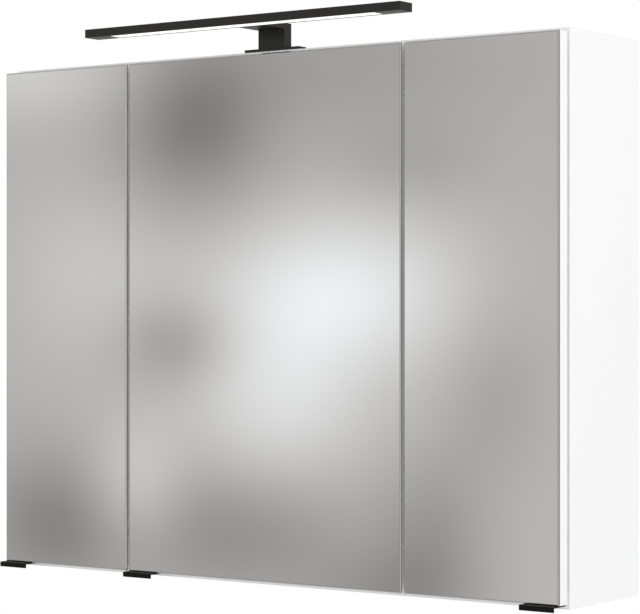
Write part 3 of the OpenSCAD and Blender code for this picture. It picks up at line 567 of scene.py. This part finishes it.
# %% Finishes and edge rounding by piece
BOARD, SHEET, SMALL = 0.5 * MM, 0.35 * MM, 0.12 * MM
WELD_REACH = 0.001 * MM
CORNER_ANGLE = math.radians(40)
FINISH = {
    "white_board": (white_board, BOARD), "back_board": (back_board, SHEET),
    "dowel_wood": (dowel_wood, SHEET), "zinc": (zinc, SMALL), "nickel": (nickel, SMALL),
    "black_lamp": (black_lamp, SHEET), "black_handle": (black_handle, SHEET),
    "diffuser": (diffuser, SMALL), "circuit": (circuit, SMALL), "dark_lead": (dark_lead, SMALL),
    "white_plastic": (white_plastic, SHEET), "brass_contact": (brass, SMALL),
    "grey_plastic": (grey_plastic, SMALL), "bumper": (bumper, SMALL),
}
slot_of = {row["node"]: row["material_slot"] for row in frame["record"]["subparts"]}
finished = 0
for name, piece in frame["nodes"].items():
    if piece.hide_render:
        continue
    material, radius = FINISH[slot_of[name]]
    piece.data.materials.clear()
    piece.data.materials.append(material)
    weld = piece.modifiers.new("weld", "WELD")
    weld.merge_threshold = WELD_REACH
    bevel = piece.modifiers.new("soft_edges", "BEVEL")
    bevel.width = radius
    bevel.segments = 2
    bevel.limit_method = "ANGLE"
    bevel.angle_limit = CORNER_ANGLE
    bevel.harden_normals = True
    finished += 1
print("finished pieces:", finished)

# %% [markdown]
# A mirror shows what stands in front of it, so the cabinet needs a room to show: a great
# hollow shell around it that only reflections see. Its tone is a soft warm grey with
# broad brighter and darker patches, like an out-of-focus bathroom with a window. To place
# a patch, the view from the camera is folded at the mirror: the eye behind the mirror
# looks through a point of the glass and on to the shell. A second list fills the rest of
# the room, which the mirrors show from elsewhere.

# %% Soft room that only reflections see
ROOM_RADIUS = 7.0
ROOM_SHADOW = (0.215, 0.199, 0.193, 1)
ROOM_WALL = (0.510, 0.498, 0.488, 1)
ROOM_WINDOW = (0.99, 1.0, 1.02, 1)
room_centre = Vector((0.0, 0.0, camera.location.z))
mirror_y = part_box("middle_mirror")[0].y
eye = Vector((camera.location.x, 2 * mirror_y - camera.location.y, camera.location.z))


def seen_at(x, z):
    """The point on the shell that the mirror shows at (x, z), and how far patches grow."""
    through = Vector((x, mirror_y, z))
    ray = (through - eye).normalized()
    off = eye - room_centre
    along = -off.dot(ray) + math.sqrt(off.dot(ray) ** 2 - off.length_squared + ROOM_RADIUS ** 2)
    return eye + ray * along, along / (through - eye).length


def make_patch_group():
    tree, given, out = new_group(
        "soft_patch",
        [("Tone", FLOAT, 0.5), ("Centre", VECTOR, (0, 0, 0)), ("Shrink", VECTOR, (1, 1, 1)),
         ("Strength", FLOAT, 0.1)],
        [("Tone", FLOAT)],
    )
    place = add(tree, "ShaderNodeTexCoord")
    off = add(tree, "ShaderNodeVectorMath", {0: place.outputs["Object"],
                                             1: given.outputs["Centre"]}, operation="SUBTRACT")
    scaled = add(tree, "ShaderNodeVectorMath", {0: off.outputs[0], 1: given.outputs["Shrink"]},
                 operation="MULTIPLY")
    square = add(tree, "ShaderNodeVectorMath", {0: scaled.outputs[0], 1: scaled.outputs[0]},
                 operation="DOT_PRODUCT")
    negative = add(tree, "ShaderNodeMath", {0: square.outputs["Value"], 1: -1.0},
                   operation="MULTIPLY")
    bell = add(tree, "ShaderNodeMath", {0: negative.outputs[0]}, operation="EXPONENT")
    total = add(tree, "ShaderNodeMath", {0: bell.outputs[0], 1: given.outputs["Strength"],
                                         2: given.outputs["Tone"]}, operation="MULTIPLY_ADD")
    tree.links.new(total.outputs[0], out.inputs["Tone"])
    return tree


# x and z on the mirror plane, half width, half height and strength of each patch
ROOM_PATCHES = [
    (0.110, -0.250, 0.140, 0.090, 0.42),
    (0.030, -0.375, 0.100, 0.100, 0.28),
    (-0.260, -0.225, 0.110, 0.120, 0.13),
    (-0.380, 0.040, 0.170, 0.070, 0.20),
    (-0.100, -0.045, 0.095, 0.110, -0.27),
    (0.130, 0.010, 0.170, 0.080, -0.10),
    (0.210, -0.110, 0.080, 0.050, -0.08),
    (-0.120, -0.310, 0.070, 0.055, -0.20),
    (-0.310, -0.535, 0.100, 0.090, -0.22),
    (-0.190, -0.490, 0.060, 0.080, 0.24),
    (-0.040, -0.530, 0.150, 0.080, -0.20),
    (0.190, -0.600, 0.100, 0.060, -0.18),
    (0.240, -0.520, 0.060, 0.090, -0.15),
    (0.320, -0.360, 0.060, 0.110, -0.10),
]

# x, y and z on the shell, half width, half height and strength, for the rest of the room
ROOM_CORNERS = [
    (0.8, -6.9, 0.3, 1.1, 1.5, 0.34),
    (-1.1, -6.8, -0.9, 0.9, 1.2, -0.16),
    (4.3, -5.4, 0.2, 1.3, 1.7, 0.32),
    (2.7, -6.4, -1.2, 1.0, 1.1, -0.16),
    (6.6, -1.6, -0.4, 1.2, 2.2, -0.18),
    (-6.8, -0.6, 0.2, 1.3, 1.7, 0.30),
    (-0.6, -5.6, 3.9, 2.0, 1.6, 0.26),
    (0.4, -5.4, -4.4, 2.2, 1.6, -0.18),
]


def shell_patches():
    """Centre, half width, half height and strength of every patch, all on the shell."""
    for x, z, half_width, half_height, strength in ROOM_PATCHES:
        centre, growth = seen_at(x, z)
        yield centre, half_width * growth, half_height * growth, strength
    for x, y, z, half_width, half_height, strength in ROOM_CORNERS:
        yield (x, y, z), half_width, half_height, strength


def make_room():
    mesh = bpy.data.meshes.new("soft_room")
    bm = bmesh.new()
    bmesh.ops.create_uvsphere(bm, u_segments=48, v_segments=24, radius=ROOM_RADIUS)
    bmesh.ops.translate(bm, verts=bm.verts[:], vec=room_centre)
    bm.to_mesh(mesh)
    bm.free()
    room = bpy.data.objects.new("soft_room", mesh)
    scene.collection.objects.link(room)
    material = bpy.data.materials.new("soft_room")
    material.use_nodes = True
    tree = material.node_tree
    tree.nodes.clear()
    place = add(tree, "ShaderNodeTexCoord")
    cloud = add(tree, "ShaderNodeTexNoise", {"Vector": place.outputs["Object"], "Scale": 0.35,
                                             "Detail": 1.0, "Roughness": 0.3})
    wall = add(tree, "ShaderNodeMapRange", {"Value": cloud.outputs["Fac"], "From Min": 0.2,
                                            "From Max": 0.8, "To Min": 0.44, "To Max": 0.54})
    tone = wall.outputs[0]
    patch_group = make_patch_group()
    for centre, wide, tall, strength in shell_patches():
        patch = use_group(tree, patch_group, {
            "Tone": tone, "Centre": centre, "Shrink": (1 / wide, 1 / wide, 1 / tall),
            "Strength": strength})
        tone = patch.outputs["Tone"]
    tint = add(tree, "ShaderNodeValToRGB", {"Fac": tone})
    low, high = tint.color_ramp.elements
    low.position, low.color = 0.2, ROOM_SHADOW
    high.position, high.color = 1.0, ROOM_WINDOW
    middle = tint.color_ramp.elements.new(0.5)
    middle.color = ROOM_WALL
    glow = add(tree, "ShaderNodeEmission", {"Color": tint.outputs["Color"], "Strength": 1.0})
    add(tree, "ShaderNodeOutputMaterial", {"Surface": glow.outputs[0]})
    mesh.materials.append(material)
    room.visible_camera = False
    room.visible_diffuse = False
    room.visible_transmission = False
    room.visible_shadow = False
    room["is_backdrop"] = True


make_room()
print("room patches:", len(ROOM_PATCHES) + len(ROOM_CORNERS))

# %% [markdown]
# A cabinet hangs above the floor of its room. The floor is pale and lies well below, so
# that views from above keep a soft shadow under the cabinet. Towards its rim it turns
# into pure white, so no edge shows.

# %% Floor
FLOOR_DROP = 1.1
FLOOR_RADIUS = 4.0
FADE_START, FADE_END = 0.9, 3.2
FLOOR_GREY = (0.88, 0.88, 0.88)
IN_PLAN = (1.0, 1.0, 0.0)


def make_floor():
    bm = bmesh.new()
    bmesh.ops.create_circle(bm, cap_ends=True, segments=96, radius=FLOOR_RADIUS)
    bmesh.ops.translate(bm, verts=bm.verts[:], vec=(0, 0, cad_low.z - FLOOR_DROP))
    mesh = bpy.data.meshes.new("pale_floor")
    bm.to_mesh(mesh)
    bm.free()
    floor = bpy.data.objects.new("pale_floor", mesh)
    scene.collection.objects.link(floor)
    material, tree, shader = new_material("pale_floor", Roughness=0.8, Base_Color=FLOOR_GREY)
    place = add(tree, "ShaderNodeTexCoord")
    flat = add(tree, "ShaderNodeVectorMath", {0: place.outputs["Object"], 1: IN_PLAN},
               operation="MULTIPLY")
    away = add(tree, "ShaderNodeVectorMath", {0: flat.outputs[0]}, operation="LENGTH")
    rim = add(tree, "ShaderNodeMapRange", {"Value": away.outputs["Value"],
                                           "From Min": FADE_START, "From Max": FADE_END},
              interpolation_type="SMOOTHSTEP")
    white = add(tree, "ShaderNodeEmission", {"Strength": 1.0})
    blend = add(tree, "ShaderNodeMixShader", {"Fac": rim.outputs[0]})
    tree.links.new(shader.outputs[0], blend.inputs[1])
    tree.links.new(white.outputs[0], blend.inputs[2])
    tree.links.new(blend.outputs[0], tree.nodes["Material Output"].inputs["Surface"])
    mesh.materials.append(material)
    floor.visible_glossy = False
    floor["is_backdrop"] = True


make_floor()
print("floor at", round(cad_low.z - FLOOR_DROP, 3))

# %% [markdown]
# The light is a studio's: an even white surround that lights everything softly, and one
# broad lamp at the right that shapes the black pieces. The surround is pure white to the
# camera, to metal and to glass, and a little weaker as a light, so that white boards
# keep their tone.

# %% World and lamp
SOFT_LIGHT = 0.80
PURE_WHITE = (1.0, 1.0, 1.0, 1.0)


def make_world():
    world = bpy.data.worlds.new("white_studio")
    scene.world = world
    world.use_nodes = True
    tree = world.node_tree
    tree.nodes.clear()
    path = add(tree, "ShaderNodeLightPath")
    mirrored = add(tree, "ShaderNodeMath", {0: path.outputs["Is Camera Ray"],
                                            1: path.outputs["Is Glossy Ray"]},
                   operation="MAXIMUM")
    seen = add(tree, "ShaderNodeMath", {0: mirrored.outputs[0],
                                        1: path.outputs["Is Transmission Ray"]},
               operation="MAXIMUM")
    soft = add(tree, "ShaderNodeBackground", {"Color": PURE_WHITE, "Strength": SOFT_LIGHT})
    white = add(tree, "ShaderNodeBackground", {"Color": PURE_WHITE, "Strength": 1.0})
    blend = add(tree, "ShaderNodeMixShader", {"Fac": seen.outputs[0]})
    tree.links.new(soft.outputs[0], blend.inputs[1])
    tree.links.new(white.outputs[0], blend.inputs[2])
    add(tree, "ShaderNodeOutputWorld", {"Surface": blend.outputs[0]})


def make_lamp(name, place, aim, size, watts):
    data = bpy.data.lights.new(name, "AREA")
    data.shape = "DISK"
    data.size = size
    data.energy = watts
    lamp = bpy.data.objects.new(name, data)
    lamp.location = place
    lamp.rotation_euler = (Vector(aim) - Vector(place)).to_track_quat("-Z", "Y").to_euler()
    lamp.visible_camera = False
    lamp.visible_glossy = False
    scene.collection.objects.link(lamp)
    return lamp


make_world()
key_lamp = make_lamp("broad_key", place=(3.2, -1.6, 0.9), aim=(0, -0.1, -0.25), size=2.4,
                     watts=36.0)
print("key lamp:", key_lamp.data.energy, "W")

# %% [markdown]
# Last, the outer box of the finished model is measured and its size printed, like the engineering
# model's size at the start.

# %% Measure and finish
low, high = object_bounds()
print("visual size in mm:", [round(1000 * side, 1) for side in high - low])
